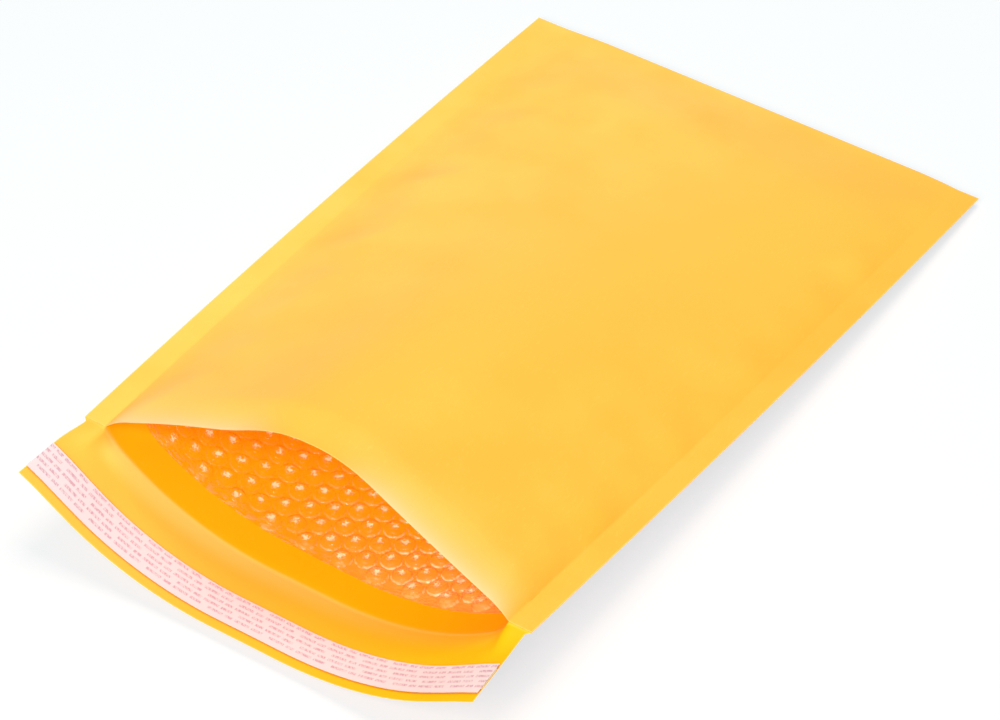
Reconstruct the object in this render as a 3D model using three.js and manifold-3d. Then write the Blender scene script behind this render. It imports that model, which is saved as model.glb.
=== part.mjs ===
// A padded mailing envelope lying on its back, with its mouth squeezed open and its flap unfolded.
// X runs across the envelope, +Y from the mouth to the bottom fold, +Z up. Sizes are in millimetres.
import * as THREE from "three";
import { mergeVertices } from "three/addons/utils/BufferGeometryUtils.js";
import Module from "manifold-3d";

const { clamp, degToRad, lerp, smoothstep } = THREE.MathUtils;

// The envelope as it is cut and folded.
const envelopeWidth = 241.3;
const pocketLength = 368.3;
const flapLength = 44;
const seamWidth = 11;
const foldRadius = 1;
const flapInset = 3.5;
const notchLength = 2;

// The layers of one wall, from the outside in, and the free gap between two neighbours.
const paperThickness = 0.15;
const clearance = 0.3;
const webThickness = 0.6;
const bubbleHeight = 3.2;
const bubblePitch = 10.7;
const fusedThickness = 0.3;

// Where the padding ends: short of the mouth, and thinned beside the seams and before the fold.
const liningSetback = 16;
const seamShoulder = 14;
const foldShoulder = 50;

// The squeezed mouth: a flat keel under the back wall, a narrow ridge on the front wall.
const keelWidth = 30;
const backBendLength = 75;
const ridgeWidth = 4;
const ridgeBendLength = 30;
const mouthAngle = degToRad(34.7);
const flapEndAngle = degToRad(30.6);
const flapLift = 6;

// Share of the flap along which its edges, level at the crease, open into the curve.
const flapOpening = 0.45;

// The closure on the inside of the flap.
const stripWidth = 16;
const stripMargin = 5.5;
const stripThickness = 0.12;
const adhesiveWidth = 12;
const adhesiveThickness = 0.2;

// Facets across the envelope, along the flap and the pocket, and round the fold.
const keelSteps = 2;
const backBendSteps = 5;
const seamShoulderSteps = 3;
const flapSteps = 2;
const stripSteps = 1;
const pocketSteps = 6;
const foldShoulderSteps = 2;
const foldAngles = [30, 60].map(degToRad);

// Values that follow from the sizes above. A wall's middle line is the surface that its bubbles just reach,
// and depth is measured from there outwards.
const BACK = -1;
const FRONT = 1;
const halfWidth = envelopeWidth / 2;
const seamLine = halfWidth - seamWidth;
const foldLine = pocketLength - foldRadius - paperThickness / 2;
const seamDepth = fusedThickness / 2 + clearance + paperThickness / 2;
const padDepth = paperThickness / 2 + clearance + webThickness + bubbleHeight + clearance / 2;
const stripStart = flapLength - stripMargin - stripWidth;
const stripEnd = flapLength - stripMargin;
const adhesiveStart = stripStart + (stripWidth - adhesiveWidth) / 2;
const adhesiveEnd = adhesiveStart + adhesiveWidth;
const halfFlapWidth = halfWidth - flapInset;
const leastAngle = 1e-6;
const angleHalvings = 48;
const mergeDistance = 1e-3;

const wasm = await Module();
wasm.setup();

// Half of a wall's cross-section at a distance u from its middle: flat, then an arc, then straight.
function bentStrip(u, flat, bend, angle) {
  const radius = bend / angle;
  const turn = clamp((u - flat) / bend, 0, 1) * angle;
  const straight = Math.max(u - flat - bend, 0);
  return {
    x: Math.min(u, flat) + radius * Math.sin(turn) + straight * Math.cos(angle),
    rise: radius * (1 - Math.cos(turn)) + straight * Math.sin(angle),
    turn,
  };
}

function backStrip(u, angle) {
  return bentStrip(u, keelWidth / 2, backBendLength, angle);
}

function frontStrip(u, angle) {
  return bentStrip(u, ridgeWidth / 2, ridgeBendLength, angle);
}

// The angle at which the front wall, as wide as the back one, comes down on the same seam.
function frontAngleFor(seamX) {
  let flatter = leastAngle;
  let steeper = Math.PI / 2;
  for (let halving = 0; halving < angleHalvings; halving++) {
    const angle = (flatter + steeper) / 2;
    if (frontStrip(seamLine, angle).x > seamX) flatter = angle;
    else steeper = angle;
  }
  return flatter;
}

// How far the padding has risen from a seam, 0 in the seam and 1 on the panel.
function seamRise(u) {
  return smoothstep(seamLine - Math.abs(u), 0, seamShoulder);
}

// Depth of the paper's middle below the wall's middle line.
function paperDepth(u, v) {
  const panelDepth = lerp(foldRadius, padDepth, smoothstep(foldLine - v, 0, foldShoulder));
  return lerp(seamDepth, panelDepth, seamRise(u));
}

// A wall's middle line at u across and v from the mouth. The seam beside it lies level, and the tilt of the
// layers fades across it.
function middleLine(u, v, side) {
  const backAngle = Math.max(mouthAngle * (1 - v / foldLine), leastAngle);
  const across = Math.min(Math.abs(u), seamLine);
  const inSeam = Math.abs(u) - across;
  const seam = backStrip(seamLine, backAngle);
  let wall = backStrip(across, backAngle);
  let z = wall.rise;
  if (side === FRONT) {
    const frontAngle = frontAngleFor(seam.x);
    wall = frontStrip(across, frontAngle);
    z = seam.rise + frontStrip(seamLine, frontAngle).rise - wall.rise;
  }
  return {
    x: Math.sign(u) * (wall.x + inSeam),
    z: padDepth + z,
    tilt: Math.sign(u) * wall.turn * (1 - inSeam / seamWidth),
  };
}

// A line of the sheet that climbs from the fold to the mouth keeps its length, so its end draws back.
function drawBack(u, side) {
  const climb = middleLine(u, 0, side).z - padDepth;
  return foldLine - Math.sqrt(foldLine ** 2 - climb ** 2);
}

// A point of the pocket at a depth outside a wall's middle line, or part of the way round the fold.
function pocketPoint(u, v, side, depth, foldAngle = 0) {
  const { x, z, tilt } = middleLine(u, v, side);
  const y = v + (1 - v / foldLine) * drawBack(u, side);
  return new THREE.Vector3(
    x + depth * Math.sin(tilt),
    y + depth * Math.sin(foldAngle),
    z + side * depth * Math.cos(tilt) * Math.cos(foldAngle),
  );
}

// A point of the flap at a height above the middle of its paper. The seams' level edges at the crease
// fade along the flap into one open curve.
function flapPoint(u, fromCrease, height) {
  const share = fromCrease / flapLength;
  const angle = lerp(mouthAngle, flapEndAngle, share);
  const side = Math.sign(u);
  const across = Math.min(Math.abs(u), seamLine);
  const seamed = backStrip(across, angle);
  const open = backStrip(Math.abs(u), angle);
  const seamedDepth = paperDepth(u, 0) - height;
  const openDepth = padDepth - height;
  const inSeam = Math.abs(u) - across;
  const seamedTilt = seamed.turn * (1 - inSeam / seamWidth);
  const seamedX = seamed.x + inSeam + seamedDepth * Math.sin(seamedTilt);
  const seamedZ = seamed.rise - seamedDepth * Math.cos(seamedTilt);
  const openX = open.x + openDepth * Math.sin(open.turn);
  const openZ = open.rise - openDepth * Math.cos(open.turn);
  const opened = smoothstep(share, 0, flapOpening);
  return new THREE.Vector3(
    side * lerp(seamedX, openX, opened),
    drawBack(u, BACK) - fromCrease,
    padDepth + lerp(seamedZ, openZ, opened) + flapLift * share,
  );
}

// Evenly spaced stops between marks, with the marks themselves among them. A stretch with no length has none.
function stopsBetween(marks, steps) {
  const stops = [marks[0]];
  steps.forEach((count, stretch) => {
    const from = marks[stretch];
    const to = marks[stretch + 1];
    for (let step = 1; step <= count && to > from; step++) {
      stops.push(lerp(from, to, step / count));
    }
  });
  return stops;
}

// A closed solid between two faces, upper and lower, that are laid on the same lattice of columns and rows.
// splitRising says on which diagonal a face's quads in a row are split.
function slab(columns, rows, pointAt, splitRising = () => true) {
  const points = [];
  const triangles = [];
  const lowerFirst = (rows + 1) * (columns + 1);
  const index = (upper, column, row) => (upper ? 0 : lowerFirst) + row * (columns + 1) + column;
  for (const upper of [true, false]) {
    for (let row = 0; row <= rows; row++) {
      for (let column = 0; column <= columns; column++) {
        points.push(pointAt(upper, column, row));
      }
    }
  }
  const addQuad = (a, b, c, d, rising) => {
    if (rising) triangles.push(a, b, c, a, c, d);
    else triangles.push(a, b, d, b, c, d);
  };
  for (const upper of [true, false]) {
    for (let row = 0; row < rows; row++) {
      for (let column = 0; column < columns; column++) {
        const near = [index(upper, column, row), index(upper, column + 1, row)];
        const far = [index(upper, column, row + 1), index(upper, column + 1, row + 1)];
        const rising = splitRising(upper, row);
        if (upper) addQuad(near[0], near[1], far[1], far[0], rising);
        else addQuad(near[1], near[0], far[0], far[1], !rising);
      }
    }
  }
  for (let row = 0; row < rows; row++) {
    addQuad(index(false, 0, row + 1), index(false, 0, row), index(true, 0, row), index(true, 0, row + 1), true);
    addQuad(
      index(false, columns, row),
      index(false, columns, row + 1),
      index(true, columns, row + 1),
      index(true, columns, row),
      true,
    );
  }
  for (let column = 0; column < columns; column++) {
    addQuad(
      index(false, column, 0),
      index(false, column + 1, 0),
      index(true, column + 1, 0),
      index(true, column, 0),
      true,
    );
    addQuad(
      index(false, column + 1, rows),
      index(false, column, rows),
      index(true, column, rows),
      index(true, column + 1, rows),
      true,
    );
  }
  return new THREE.BufferGeometry().setFromPoints(points).setIndex(triangles);
}

// Cuts one closed geometry out of another. Faces that closed up where two edges meet are left out first.
function cutAway(body, tool) {
  const toSolid = (geometry) => {
    const merged = mergeVertices(geometry, mergeDistance);
    const triVerts = [];
    for (let first = 0; first < merged.index.count; first += 3) {
      const [a, b, c] = merged.index.array.slice(first, first + 3);
      if (a !== b && b !== c && c !== a) triVerts.push(a, b, c);
    }
    return new wasm.Manifold(
      new wasm.Mesh({
        numProp: 3,
        vertProperties: merged.attributes.position.array,
        triVerts: new Uint32Array(triVerts),
      }),
    );
  };
  const { vertProperties, triVerts } = toSolid(body).subtract(toSolid(tool)).getMesh();
  return new THREE.BufferGeometry()
    .setAttribute("position", new THREE.BufferAttribute(vertProperties, 3))
    .setIndex(new THREE.BufferAttribute(triVerts, 1));
}

// Lines along the envelope, shared by every layer so that facets of neighbouring layers lie parallel.
// A bend that runs on under the shoulder of a seam takes the shoulder's lines there.
const shoulderStart = seamLine - seamShoulder;
const bendEnd = Math.min(keelWidth / 2 + backBendLength, shoulderStart);
const rightColumns = stopsBetween(
  [0, keelWidth / 2, bendEnd, shoulderStart, seamLine, halfWidth],
  [keelSteps, backBendSteps, 1, seamShoulderSteps, 1],
);
const columnStops = [...rightColumns.slice(1).reverse().map((u) => -u), ...rightColumns];
const columnCount = columnStops.length - 1;

// Lines across the flap, from the crease to its free end.
const flapStops = stopsBetween(
  [0, notchLength, stripStart, adhesiveStart, adhesiveEnd, stripEnd, flapLength],
  [1, flapSteps, 1, stripSteps, 1, 1],
);

// Lines across the pocket, from the mouth to the fold.
const rowStops = stopsBetween(
  [0, liningSetback, foldLine - foldShoulder, foldLine],
  [1, pocketSteps, foldShoulderSteps],
);

// One folded sheet of paper: flap, back wall, bottom fold and front wall.
function kraftSheet() {
  const flapPath = flapStops.slice(1).reverse().map((fromCrease) => ({ fromCrease }));
  const panelPath = rowStops.map((v) => ({ v, side: BACK, foldAngle: 0 }));
  const foldPath = foldAngles.map((foldAngle) => ({ v: foldLine, side: BACK, foldAngle }));
  const mirrored = [...panelPath, ...foldPath].reverse().map((place) => ({ ...place, side: FRONT }));
  const foldEdge = { v: foldLine, side: BACK, foldAngle: Math.PI / 2 };
  const path = [...flapPath, ...panelPath, ...foldPath, foldEdge, ...mirrored];
  return slab(columnCount, path.length - 1, (upper, column, row) => {
    const { fromCrease, v, side, foldAngle } = path[row];
    const u = columnStops[column];
    const height = (upper ? 1 : -1) * (paperThickness / 2);
    if (fromCrease === undefined) return pocketPoint(u, v, side, paperDepth(u, v) - height, foldAngle);
    return flapPoint(clamp(u, -halfFlapWidth, halfFlapWidth), fromCrease, height);
  });
}

// The bubble lining: one web folded with the paper, fused to itself in both side seams and open at the mouth.
function bubbleLiner() {
  const outerDepth = (u, v) => paperDepth(u, v) - paperThickness / 2 - clearance;
  const liningRows = [
    ...rowStops.filter((v) => v >= liningSetback).map((v) => ({ v, foldAngle: 0 })),
    ...foldAngles.map((foldAngle) => ({ v: foldLine, foldAngle })),
  ];
  const bag = slab(
    columnCount,
    liningRows.length - 1,
    (upper, column, row) => {
      const u = columnStops[column];
      const { v, foldAngle } = liningRows[row];
      return pocketPoint(u, v, upper ? FRONT : BACK, outerDepth(u, v), foldAngle);
    },
    (upper) => !upper,
  );
  return cutAway(bag, bubbledHollow(outerDepth));
}

// The hollow of the lining. Its faces are a lattice of equal triangles, where every third point is the crown
// of a bubble among six points of the web, so the bubbles stand close-packed in lines along the envelope.
function bubbledHollow(outerDepth) {
  const latticeStep = bubblePitch / Math.sqrt(3);
  const columns = Math.round((2 * seamLine) / latticeStep);
  const columnStep = (2 * seamLine) / columns;
  const start = liningSetback - webThickness;
  const rows = Math.round((foldLine - start) / (bubblePitch / 2));
  const isCrown = (column, row) => (column - Math.ceil(row / 2) - row) % 3 === 0;
  const pointAt = (upper, column, row) => {
    const shift = row % 2 ? 0.5 : 0;
    const u = clamp((column - shift) * columnStep - seamLine, -seamLine, seamLine);
    const v = lerp(start, foldLine, row / rows);
    const room = Math.max(outerDepth(u, v) - webThickness, 0);
    const depth = isCrown(column, row) ? Math.min(room, clearance / 2) : room;
    return pocketPoint(u, v, upper ? FRONT : BACK, depth);
  };
  return slab(columns + 1, rows, pointAt, (upper, row) => row % 2 === 0);
}

// A strip from edge to edge of the flap, between two of its lines, its underside above the paper's middle.
function flapStrip(from, to, underside, thickness) {
  const rows = flapStops.filter((fromCrease) => fromCrease >= from && fromCrease <= to).reverse();
  return slab(columnCount, rows.length - 1, (upper, column, row) => {
    const u = clamp(columnStops[column], -halfFlapWidth, halfFlapWidth);
    return flapPoint(u, rows[row], underside + (upper ? thickness : 0));
  });
}

function adhesiveStrip() {
  const underside = paperThickness / 2 + clearance;
  return flapStrip(adhesiveStart, adhesiveEnd, underside, adhesiveThickness);
}

function releaseLiner() {
  const underside = paperThickness / 2 + clearance + adhesiveThickness + clearance;
  return flapStrip(stripStart, stripEnd, underside, stripThickness);
}

function addPiece(group, name, geometry, finish) {
  geometry.computeVertexNormals();
  const mesh = new THREE.Mesh(geometry, new THREE.MeshStandardMaterial(finish));
  mesh.name = name;
  group.add(mesh);
}

const envelope = new THREE.Group();
addPiece(envelope, "kraft_sheet", kraftSheet(), { color: 0xf7c04a, roughness: 0.75, metalness: 0 });
addPiece(envelope, "bubble_liner", bubbleLiner(), { color: 0xf39a1e, roughness: 0.3, metalness: 0 });
addPiece(envelope, "adhesive_strip", adhesiveStrip(), { color: 0xe9dcb0, roughness: 0.35, metalness: 0 });
addPiece(envelope, "release_liner", releaseLiner(), { color: 0xf6dcd2, roughness: 0.4, metalness: 0 });

// The origin is under the middle of the envelope, on the surface that it lies on.
const box = new THREE.Box3().setFromObject(envelope);
const centre = box.getCenter(new THREE.Vector3());
envelope.position.set(-centre.x, -centre.y, -box.min.z);

export default envelope;
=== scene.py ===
"""A padded mailing envelope on its back, its mouth squeezed open and its flap unfolded."""
import logging
import math
from dataclasses import dataclass, field
from enum import Enum
from typing import ClassVar

import bpy
import numpy as np
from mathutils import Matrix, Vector


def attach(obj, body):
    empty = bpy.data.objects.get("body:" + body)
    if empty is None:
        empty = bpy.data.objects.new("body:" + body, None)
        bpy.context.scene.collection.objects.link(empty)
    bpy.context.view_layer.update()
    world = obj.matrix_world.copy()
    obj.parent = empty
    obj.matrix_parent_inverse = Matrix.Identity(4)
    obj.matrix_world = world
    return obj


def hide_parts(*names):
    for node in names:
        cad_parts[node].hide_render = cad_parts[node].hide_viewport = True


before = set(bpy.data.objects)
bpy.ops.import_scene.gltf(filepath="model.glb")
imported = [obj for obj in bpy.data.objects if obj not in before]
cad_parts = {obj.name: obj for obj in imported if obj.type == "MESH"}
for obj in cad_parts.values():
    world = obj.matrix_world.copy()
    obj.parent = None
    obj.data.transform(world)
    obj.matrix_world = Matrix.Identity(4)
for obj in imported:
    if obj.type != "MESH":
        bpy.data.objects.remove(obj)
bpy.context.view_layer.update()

BODY = "root"
MM = 0.001
LEAST_ANGLE = 1e-6
HALVINGS = 48
SHARP_PAPER = math.radians(50)
SHARP_FILM = math.radians(70)
LOG = logging.getLogger("padded_envelope")

Colour = tuple[float, float, float]
Place = tuple[float, float, float]
Pair = tuple[float, float]
Band = tuple[float, float]
Face = tuple[int, ...]
Section = tuple[np.ndarray, np.ndarray, np.ndarray]
Reading = np.ndarray | float
Value = "Socket | float | tuple[float, ...]"

UNLIT: Colour = (0.0, 0.0, 0.0)


class Side(Enum):
    """The pocket's two walls, with the way that each one's outside faces."""

    BACK = -1
    FRONT = 1


class Facing(Enum):
    """The faces of the sheet that have a material of their own, by its slot."""

    OUTSIDE = 0
    FLAP = 1
    POCKET = 2


def smoothstep(x: Reading, low: float, high: float) -> Reading:
    """Ease from 0 at low to 1 at high.

    Args:
        x: Where to read the ease.
        low: Where it starts.
        high: Where it ends.

    Returns:
        The eased share, from 0 to 1.
    """
    share = np.clip((x - low) / (high - low), 0.0, 1.0)
    return share * share * (3.0 - 2.0 * share)


def lerp(start: Reading, end: Reading, share: Reading) -> Reading:
    """Blend from start to end by a share."""
    return start + (end - start) * share


def stops_between(marks: list[float], steps: tuple[int, ...]) -> np.ndarray:
    """Spread stops evenly between marks, with the marks among them.

    Args:
        marks: The places that must be stops.
        steps: How many steps each stretch between two marks has.

    Returns:
        The stops in order.
    """
    stops = [np.array([marks[0]])]
    for first, last, count in zip(marks, marks[1:], steps):
        stops.append(np.linspace(first, last, count + 1)[1:])
    return np.concatenate(stops)


@dataclass(frozen=True)
class Pocket:
    """The folded and squeezed envelope.

    Sizes are flat sizes in metres, with u across and v from the mouth.
    """

    width: float = 241.3 * MM
    length: float = 368.3 * MM
    flap: float = 44.0 * MM
    seam: float = 11.0 * MM
    fold_radius: float = 1.0 * MM
    flap_inset: float = 1.9 * MM
    notch: float = 2.0 * MM
    paper: float = 0.15 * MM
    clearance: float = 0.3 * MM
    padding: float = 3.8 * MM
    lining_setback: float = 16.0 * MM
    seam_shoulder: float = 21.0 * MM
    left_shoulder: float = 36.0 * MM
    lip_shoulder: float = 13.0 * MM
    pucker: float = 0.18
    fold_shoulder: float = 50.0 * MM
    seam_gap: float = 0.06 * MM
    keel: float = 30.0 * MM
    back_bend: float = 75.0 * MM
    ridge: float = 4.0 * MM
    ridge_bend: float = 30.0 * MM
    mouth_angle: float = math.radians(34.7)
    flap_end_angle: float = math.radians(30.6)
    flap_lift: float = 6.0 * MM
    flap_opening: float = 0.45
    flap_droop: float = 3.2 * MM
    lip_sag: float = 1.6 * MM
    lip_sag_length: float = 24.0 * MM
    dent: float = 2.6 * MM
    dent_place: float = -36.0 * MM
    dent_width: float = 25.0 * MM
    billow: float = 0.9 * MM
    bead: float = 0.10 * MM
    bead_width: float = 0.8 * MM
    gaps: float = 1.5
    lip_reach: float = 50.0 * MM
    fold_calm: float = 60.0 * MM
    mouth_calm: float = 80.0 * MM

    # A pucker has a share, a rate along the seam and a phase, and a billow one more rate, across.
    PUCKERS: ClassVar[tuple[tuple[float, ...], ...]] = ((1.0, 118.0, 0.0), (0.7, 205.0, 0.4))
    BILLOWS: ClassVar[tuple[tuple[float, ...], ...]] = (
        (1.0, 31.0, 9.0, 0.6),
        (0.6, 57.0, -13.0, 2.1),
        (0.5, 18.0, 27.0, 4.0),
    )

    @property
    def half(self) -> float:
        """Half of the envelope's width."""
        return self.width / 2

    @property
    def flap_half(self) -> float:
        """Half of the flap's width."""
        return self.half - self.flap_inset

    @property
    def seam_line(self) -> float:
        """Where a side seam starts, from the middle."""
        return self.half - self.seam

    @property
    def fold_line(self) -> float:
        """Where the bottom fold starts, from the mouth."""
        return self.length - self.fold_radius - self.paper / 2

    @property
    def seam_depth(self) -> float:
        """Depth of the paper below the middle line in a seam."""
        return self.seam_gap + self.paper / 2

    @property
    def pad_depth(self) -> float:
        """Depth of the paper below the middle line on a panel."""
        return self.paper / 2 + self.clearance * self.gaps + self.padding

    @property
    def shift(self) -> np.ndarray:
        """The move from the mouth's own frame to the CAD frame."""
        return np.array([0.0, -(self.length - self.flap) / 2, self.paper / 2])

    @staticmethod
    def bent_strip(u: np.ndarray, flat: float, bend: float, angle: float) -> Section:
        """Half of a wall's section: flat, then an arc, then straight.

        Args:
            u: Distance along the section from its middle.
            flat: Length of the flat part.
            bend: Length of the arc.
            angle: Angle of the straight part.

        Returns:
            The place across, the rise and the turn at u.
        """
        radius = bend / angle
        turn = np.clip((u - flat) / bend, 0.0, 1.0) * angle
        straight = np.maximum(u - flat - bend, 0.0)
        x = np.minimum(u, flat) + radius * np.sin(turn) + straight * math.cos(angle)
        rise = radius * (1.0 - np.cos(turn)) + straight * math.sin(angle)
        return x, rise, turn

    def back_strip(self, u: np.ndarray, angle: float) -> Section:
        """Half of the back wall's section, as bent_strip gives it."""
        return self.bent_strip(u, self.keel / 2, self.back_bend, angle)

    def front_strip(self, u: np.ndarray, angle: float) -> Section:
        """Half of the front wall's section, as bent_strip gives it."""
        return self.bent_strip(u, self.ridge / 2, self.ridge_bend, angle)

    def front_angle(self, seam_x: float) -> float:
        """Find the slope at which the front wall comes down on the back wall's seam.

        Args:
            seam_x: Where the back wall's seam starts.

        Returns:
            The angle of the front wall's straight part.
        """
        flatter, steeper = LEAST_ANGLE, math.pi / 2
        for _ in range(HALVINGS):
            angle = (flatter + steeper) / 2
            if self.front_strip(np.float64(self.seam_line), angle)[0] > seam_x:
                flatter = angle
            else:
                steeper = angle
        return flatter

    def seam_rise(self, u: np.ndarray, v: float) -> np.ndarray:
        """How far the padding has risen from a seam, steeply on the right and at the lip.

        The seam pinches the paper into shallow puckers.

        Args:
            u: Places across.
            v: Distance from the mouth.

        Returns:
            0 in the seam and 1 on the panel.
        """
        along = v + np.sign(u) * self.seam
        waves = sum(share * np.sin(along * rate + phase) for share, rate, phase in self.PUCKERS)
        inwards = smoothstep(v, 0.0, self.lip_reach)
        wide = np.where(u > 0.0, self.seam_shoulder, self.left_shoulder)
        shoulder = lerp(self.lip_shoulder, wide + self.seam_shoulder * self.pucker * waves, inwards)
        share = np.clip((self.seam_line - np.abs(u)) / shoulder, 0.0, 1.0)
        steep = share * (2.0 - share)
        gentle = smoothstep(share, 0.0, 1.0)
        return np.where(u > 0.0, steep, lerp(steep, gentle, inwards))

    def paper_depth(self, u: np.ndarray, v: float) -> np.ndarray:
        """Depth of the paper's middle below the wall's middle line.

        Args:
            u: Places across.
            v: Distance from the mouth.

        Returns:
            The depth at u.
        """
        risen = smoothstep(self.fold_line - v, 0.0, self.fold_shoulder)
        panel = lerp(self.fold_radius, self.pad_depth, risen)
        return lerp(self.seam_depth, panel, self.seam_rise(u, v))

    def middle_line(self, u: np.ndarray, v: float, side: Side) -> Section:
        """A wall's middle line.

        Args:
            u: Places across.
            v: Distance from the mouth.
            side: Which wall.

        Returns:
            The place across, the height and the tilt at u.
        """
        angle = max(self.mouth_angle * (1.0 - v / self.fold_line), LEAST_ANGLE)
        across = np.minimum(np.abs(u), self.seam_line)
        in_seam = np.abs(u) - across
        seam_x, seam_z, _ = self.back_strip(np.float64(self.seam_line), angle)
        x, z, turn = self.back_strip(across, angle)
        if side is Side.FRONT:
            front = self.front_angle(seam_x)
            x, drop, turn = self.front_strip(across, front)
            z = seam_z + self.front_strip(np.float64(self.seam_line), front)[1] - drop
        tilt = np.sign(u) * turn * (1.0 - in_seam / self.seam)
        return np.sign(u) * (x + in_seam), self.pad_depth + z, tilt

    def draw_back(self, u: np.ndarray, side: Side) -> np.ndarray:
        """How far a line of the sheet that climbs to the mouth draws back from it."""
        climb = self.middle_line(u, 0.0, side)[1] - self.pad_depth
        return self.fold_line - np.sqrt(self.fold_line**2 - climb**2)

    def pocket_point(
        self, u: np.ndarray, v: float, side: Side, depth: np.ndarray, fold_angle: float = 0.0
    ) -> np.ndarray:
        """Points of the pocket, outside a wall's middle line or part of the way round the fold.

        Args:
            u: Places across.
            v: Distance from the mouth.
            side: Which wall.
            depth: How far outside the middle line.
            fold_angle: How far round the bottom fold.

        Returns:
            An array of points in the CAD frame.
        """
        x, z, tilt = self.middle_line(u, v, side)
        y = v + (1.0 - v / self.fold_line) * self.draw_back(u, side)
        return self.shift + np.stack(
            [
                x + depth * np.sin(tilt),
                y + depth * math.sin(fold_angle),
                z + side.value * depth * np.cos(tilt) * math.cos(fold_angle),
            ],
            axis=-1,
        )

    def flap_point(self, u: np.ndarray, from_crease: float, height: float) -> np.ndarray:
        """Points of the flap, whose level edges at the crease fade into one open curve.

        Args:
            u: Places across.
            from_crease: Distance from the crease.
            height: Height above the middle of the flap's paper.

        Returns:
            An array of points in the CAD frame.
        """
        share = from_crease / self.flap
        angle = lerp(self.mouth_angle, self.flap_end_angle, share)
        across = np.minimum(np.abs(u), self.seam_line)
        in_seam = np.abs(u) - across
        seamed_x, seamed_z, seamed_turn = self.back_strip(across, angle)
        open_x, open_z, open_turn = self.back_strip(np.abs(u), angle)
        seamed_depth = self.paper_depth(u, 0.0) - height
        open_depth = self.pad_depth - height
        tilt = seamed_turn * (1.0 - in_seam / self.seam)
        opened = smoothstep(share, 0.0, self.flap_opening)
        x = lerp(
            seamed_x + in_seam + seamed_depth * np.sin(tilt),
            open_x + open_depth * np.sin(open_turn),
            opened,
        )
        z = lerp(
            seamed_z - seamed_depth * np.cos(tilt),
            open_z - open_depth * np.cos(open_turn),
            opened,
        )
        y = self.draw_back(u, Side.BACK) - from_crease
        lift = self.flap_lift - self.flap_droop * smoothstep(u, 0.0, self.half)
        return self.shift + np.stack(
            [np.sign(u) * x, y, self.pad_depth + z + lift * share], axis=-1
        )

    def crease_bead(self, from_crease: float) -> float:
        """Height of the small ridge that the folded fibres leave along the flap's crease."""
        return self.bead * math.exp(-((from_crease / self.bead_width) ** 2))

    def swell(self, u: np.ndarray, v: float) -> np.ndarray:
        """How far the front paper stands off its even shape, in soft billows and a dropped lip.

        Args:
            u: Places across.
            v: Distance from the mouth.

        Returns:
            The distance outwards, negative at the lip.
        """
        inside = self.seam_rise(u, v) * smoothstep(self.fold_line - v, 0.0, self.fold_calm)
        waves = sum(
            share * np.sin(u * across + v * along + phase)
            for share, across, along, phase in self.BILLOWS
        )
        dent = self.dent * np.exp(-(((u - self.dent_place) / self.dent_width) ** 2))
        sag = (self.lip_sag + dent) * (1.0 - smoothstep(v, 0.0, self.lip_sag_length))
        return inside * (self.billow * waves * smoothstep(v, 0.0, self.mouth_calm) - sag)


class Socket:
    """A value in a shader, which grows Math nodes as it is worked with."""

    def __init__(self, graph: "Graph", output: bpy.types.NodeSocket | None) -> None:
        """Keep the graph and the output socket, where the node has one."""
        self.graph = graph
        self.output = output

    def math(self, operation: str, *values: Value) -> "Socket":
        """Add one Math node over these values."""
        return self.graph.node(
            "ShaderNodeMath", {"operation": operation}, dict(enumerate(values))
        )

    def __add__(self, other: Value) -> "Socket":
        """This plus other."""
        return self.math("ADD", self, other)

    __radd__ = __add__

    def __sub__(self, other: Value) -> "Socket":
        """This minus other."""
        return self.math("SUBTRACT", self, other)

    def __rsub__(self, other: Value) -> "Socket":
        """Other minus this."""
        return self.math("SUBTRACT", other, self)

    def __mul__(self, other: Value) -> "Socket":
        """This times other."""
        return self.math("MULTIPLY", self, other)

    __rmul__ = __mul__

    def __truediv__(self, other: Value) -> "Socket":
        """This over other."""
        return self.math("DIVIDE", self, other)

    def __rtruediv__(self, other: Value) -> "Socket":
        """Other over this."""
        return self.math("DIVIDE", other, self)

    def __lt__(self, other: Value) -> "Socket":
        """1 where this is less than other."""
        return self.math("LESS_THAN", self, other)

    def __gt__(self, other: Value) -> "Socket":
        """1 where this is greater than other."""
        return self.math("GREATER_THAN", self, other)

    def __abs__(self) -> "Socket":
        """This without its sign."""
        return self.math("ABSOLUTE", self)

    def wrapped(self, period: float) -> "Socket":
        """This wrapped into one period from 0."""
        return self.math("WRAP", self, period, 0.0)

    def floor(self) -> "Socket":
        """The whole number below this."""
        return self.math("FLOOR", self)

    def clamped(self) -> "Socket":
        """This kept from 0 to 1."""
        return self.math("MINIMUM", self.math("MAXIMUM", self, 0.0), 1.0)

    def eased(self, low: float, high: float) -> "Socket":
        """Ease from 0 at low to 1 at high."""
        return self.graph.node(
            "ShaderNodeMapRange",
            {"interpolation_type": "SMOOTHSTEP"},
            {"Value": self, "From Min": low, "From Max": high},
        )


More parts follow.
